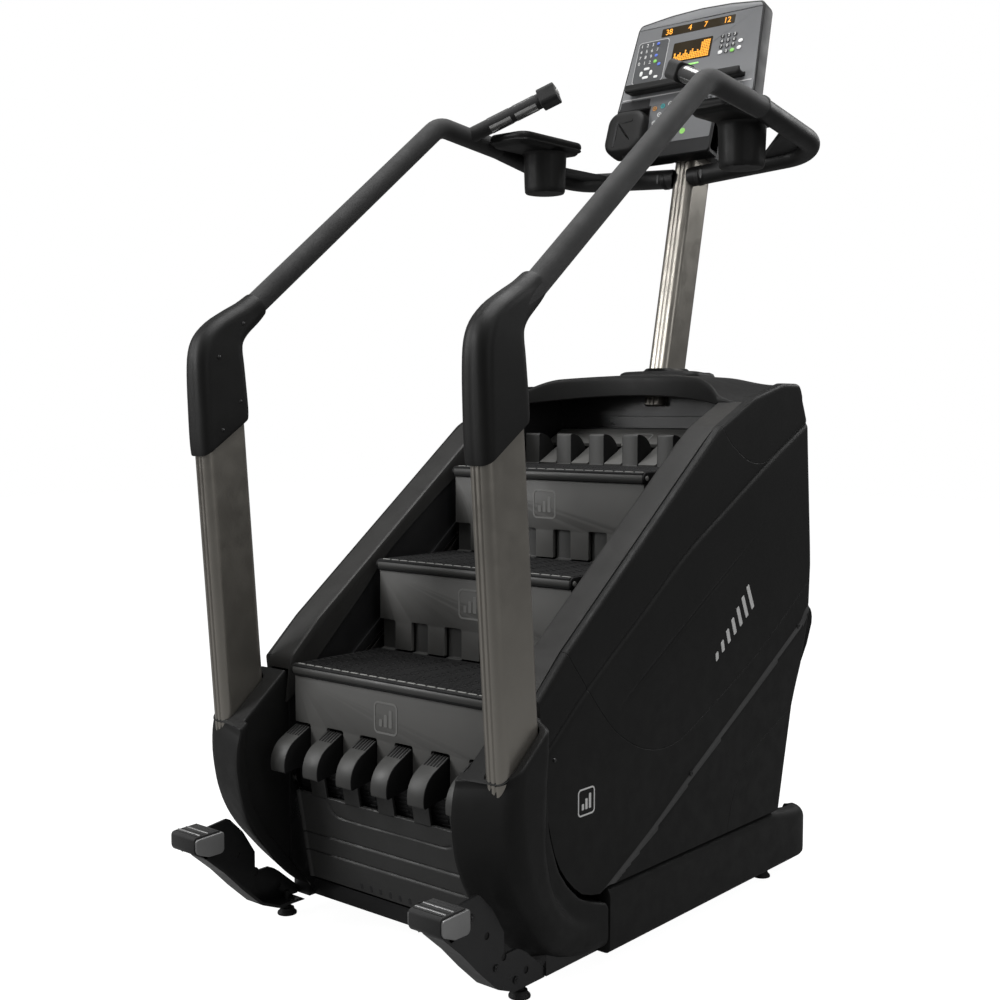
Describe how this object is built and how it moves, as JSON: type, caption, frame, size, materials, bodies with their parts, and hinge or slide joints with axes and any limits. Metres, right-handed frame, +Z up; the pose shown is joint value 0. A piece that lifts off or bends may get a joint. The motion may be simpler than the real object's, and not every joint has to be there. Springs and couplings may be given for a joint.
{
  "type": "stair climber",
  "caption": "Gym stair climber: a short revolving staircase between shell side covers, with leaning columns, sloped handrails, a mast and a keypad console.",
  "frame": {"origin": "middle of the footprint, on the floor under the levelling feet", "axes": "+Z up, +Y from the entrance towards the console, +X to the climber's right"},
  "size_m": [0.864, 1.4501, 2.1432],
  "materials": {
    "frame_black": "satin",
    "column_bronze": "satin",
    "cover_black": "satin",
    "slope_grey": "satin",
    "riser_grey": "matte",
    "tread_black": "matte",
    "rail_sleeve": "matte",
    "rail_tube": "satin",
    "contact_steel": "brushed",
    "steel": "machined",
    "chain_steel": "oiled",
    "cast": "machined",
    "belt_rubber": "matte",
    "motor_case": "cast",
    "electronics_case": "matte",
    "foot_rubber": "matte",
    "wheel_rubber": "matte",
    "peg_metal": "satin",
    "kick_grey": "satin",
    "console_grey": "matte",
    "console_dark": "satin",
    "screen": "glossy",
    "keypad": "satin",
    "key_green": "glossy",
    "key_red": "glossy",
    "button_grey": "satin",
    "cable_black": "matte"
  },
  "bodies": {
    "frame": {"base_frame": "frame_black", "side_frame_right": "frame_black", "side_frame_left": "frame_black", "wheel_axles": "steel", "upright_right": "column_bronze", "upright_left": "column_bronze", "elbow_inner_shells": "cover_black", "elbow_outer_shells": "cover_black", "handrail_right": "rail_sleeve", "handrail_left": "rail_sleeve", "loop_tubes": "rail_tube", "hand_grip_right": "rail_sleeve", "hand_grip_left": "rail_sleeve", "grip_contacts": "contact_steel", "cup_holders": "cover_black", "mast": "column_bronze", "mast_collar": "cover_black", "side_panel_right": "cover_black", "side_panel_left": "cover_black", "slope_caps": "slope_grey", "hood": "cover_black", "rear_panel": "cover_black", "skirts": "cover_black", "boot_right": "cover_black", "boot_left": "cover_black", "kick_panel": "kick_grey", "peg_brackets": "frame_black", "foot_pegs": "peg_metal", "cover_screws": "steel", "console_back": "console_dark", "console_face": "console_grey", "console_screen": "screen", "readout_strip": "screen", "keypad_overlays": "keypad", "reading_ledge": "cover_black", "accessory_pocket": "cover_black", "accessory_cable": "cable_black", "shaft_bearings": "cast", "step_chains": "chain_steel", "drive_belt": "belt_rubber", "motor_unit": "motor_case", "controller_box": "electronics_case"},
    "stairs": {"step_treads": "tread_black", "step_risers": "riser_grey"},
    "return_run": {"return_steps": "riser_grey"},
    "top_step": {"top_step": "riser_grey"},
    "bottom_step": {"bottom_step": "tread_black"},
    "drive_shaft": {"drive_shaft": "steel"},
    "idler_shaft": {"idler_shaft": "steel"},
    "motor_shaft": {"motor_shaft": "steel"},
    "wheel_right": {"transport_wheel_right": "wheel_rubber"},
    "wheel_left": {"transport_wheel_left": "wheel_rubber"},
    "front_foot_right": {"front_foot_right": "foot_rubber"},
    "front_foot_left": {"front_foot_left": "foot_rubber"},
    "rear_foot_right": {"rear_foot_right": "foot_rubber"},
    "rear_foot_left": {"rear_foot_left": "foot_rubber"},
    "grip_button_right": {"grip_button_right": "key_red"},
    "grip_button_left": {"grip_button_left": "button_grey"},
    "start_key": {"start_key": "key_green"},
    "stop_key": {"stop_key": "key_red"}
  },
  "joints": [
    {"name": "stair_travel", "type": "slide", "parent": "frame", "child": "stairs", "axis": [0, -0.7841, -0.6206], "range_m": [0, 0.035]},
    {"name": "return_travel", "type": "slide", "parent": "frame", "child": "return_run", "axis": [0, 0.7841, 0.6206], "range_m": [0, 0.035]},
    {"name": "top_step_turn", "type": "hinge", "parent": "frame", "child": "top_step", "pos_m": [0, 0.3435, 0.9066], "axis": [1, 0, 0], "range_deg": [0, 23.7]},
    {"name": "bottom_step_turn", "type": "hinge", "parent": "frame", "child": "bottom_step", "pos_m": [0, -0.375, 0.338], "axis": [1, 0, 0], "range_deg": [0, 23.7]},
    {"name": "drive_shaft_turn", "type": "hinge", "parent": "frame", "child": "drive_shaft", "pos_m": [0, 0.3435, 0.9066], "axis": [1, 0, 0], "range_deg": [0, 23.7]},
    {"name": "idler_shaft_turn", "type": "hinge", "parent": "frame", "child": "idler_shaft", "pos_m": [0, -0.375, 0.338], "axis": [1, 0, 0], "range_deg": [0, 23.7]},
    {"name": "motor_shaft_turn", "type": "hinge", "parent": "frame", "child": "motor_shaft", "pos_m": [0.32, 0.33, 0.18], "axis": [1, 0, 0], "range_deg": [0, 74.7]},
    {"name": "wheel_right_roll", "type": "hinge", "parent": "frame", "child": "wheel_right", "pos_m": [0.289, 0.55, 0.044], "axis": [1, 0, 0], "continuous": true},
    {"name": "front_foot_right_level", "type": "slide", "parent": "frame", "child": "front_foot_right", "axis": [0, 0, -1], "range_m": [0, 0.012]},
    {"name": "rear_foot_right_level", "type": "slide", "parent": "frame", "child": "rear_foot_right", "axis": [0, 0, -1], "range_m": [0, 0.012]},
    {"name": "wheel_left_roll", "type": "hinge", "parent": "frame", "child": "wheel_left", "pos_m": [-0.289, 0.55, 0.044], "axis": [1, 0, 0], "continuous": true},
    {"name": "front_foot_left_level", "type": "slide", "parent": "frame", "child": "front_foot_left", "axis": [0, 0, -1], "range_m": [0, 0.012]},
    {"name": "rear_foot_left_level", "type": "slide", "parent": "frame", "child": "rear_foot_left", "axis": [0, 0, -1], "range_m": [0, 0.012]},
    {"name": "grip_button_right_press", "type": "slide", "parent": "frame", "child": "grip_button_right", "axis": [0.8334, -0.3908, -0.3908], "range_m": [0, 0.002], "stiffness_N_per_m": 900},
    {"name": "grip_button_left_press", "type": "slide", "parent": "frame", "child": "grip_button_left", "axis": [-0.8334, -0.3908, -0.3908], "range_m": [0, 0.002], "stiffness_N_per_m": 900},
    {"name": "start_key_press", "type": "slide", "parent": "frame", "child": "start_key", "axis": [0, 0.9489, -0.3156], "range_m": [0, 0.001], "stiffness_N_per_m": 1200},
    {"name": "stop_key_press", "type": "slide", "parent": "frame", "child": "stop_key", "axis": [0, 0.9489, -0.3156], "range_m": [0, 0.001], "stiffness_N_per_m": 1200}
  ],
  "couplings": [
    {"joint": "return_travel", "follows": "stair_travel", "ratio": 1},
    {"joint": "top_step_turn", "follows": "stair_travel", "rad_per_m": 11.736},
    {"joint": "bottom_step_turn", "follows": "stair_travel", "rad_per_m": 11.736},
    {"joint": "drive_shaft_turn", "follows": "stair_travel", "rad_per_m": 11.736},
    {"joint": "idler_shaft_turn", "follows": "stair_travel", "rad_per_m": 11.736},
    {"joint": "motor_shaft_turn", "follows": "stair_travel", "rad_per_m": 37.163}
  ]
}
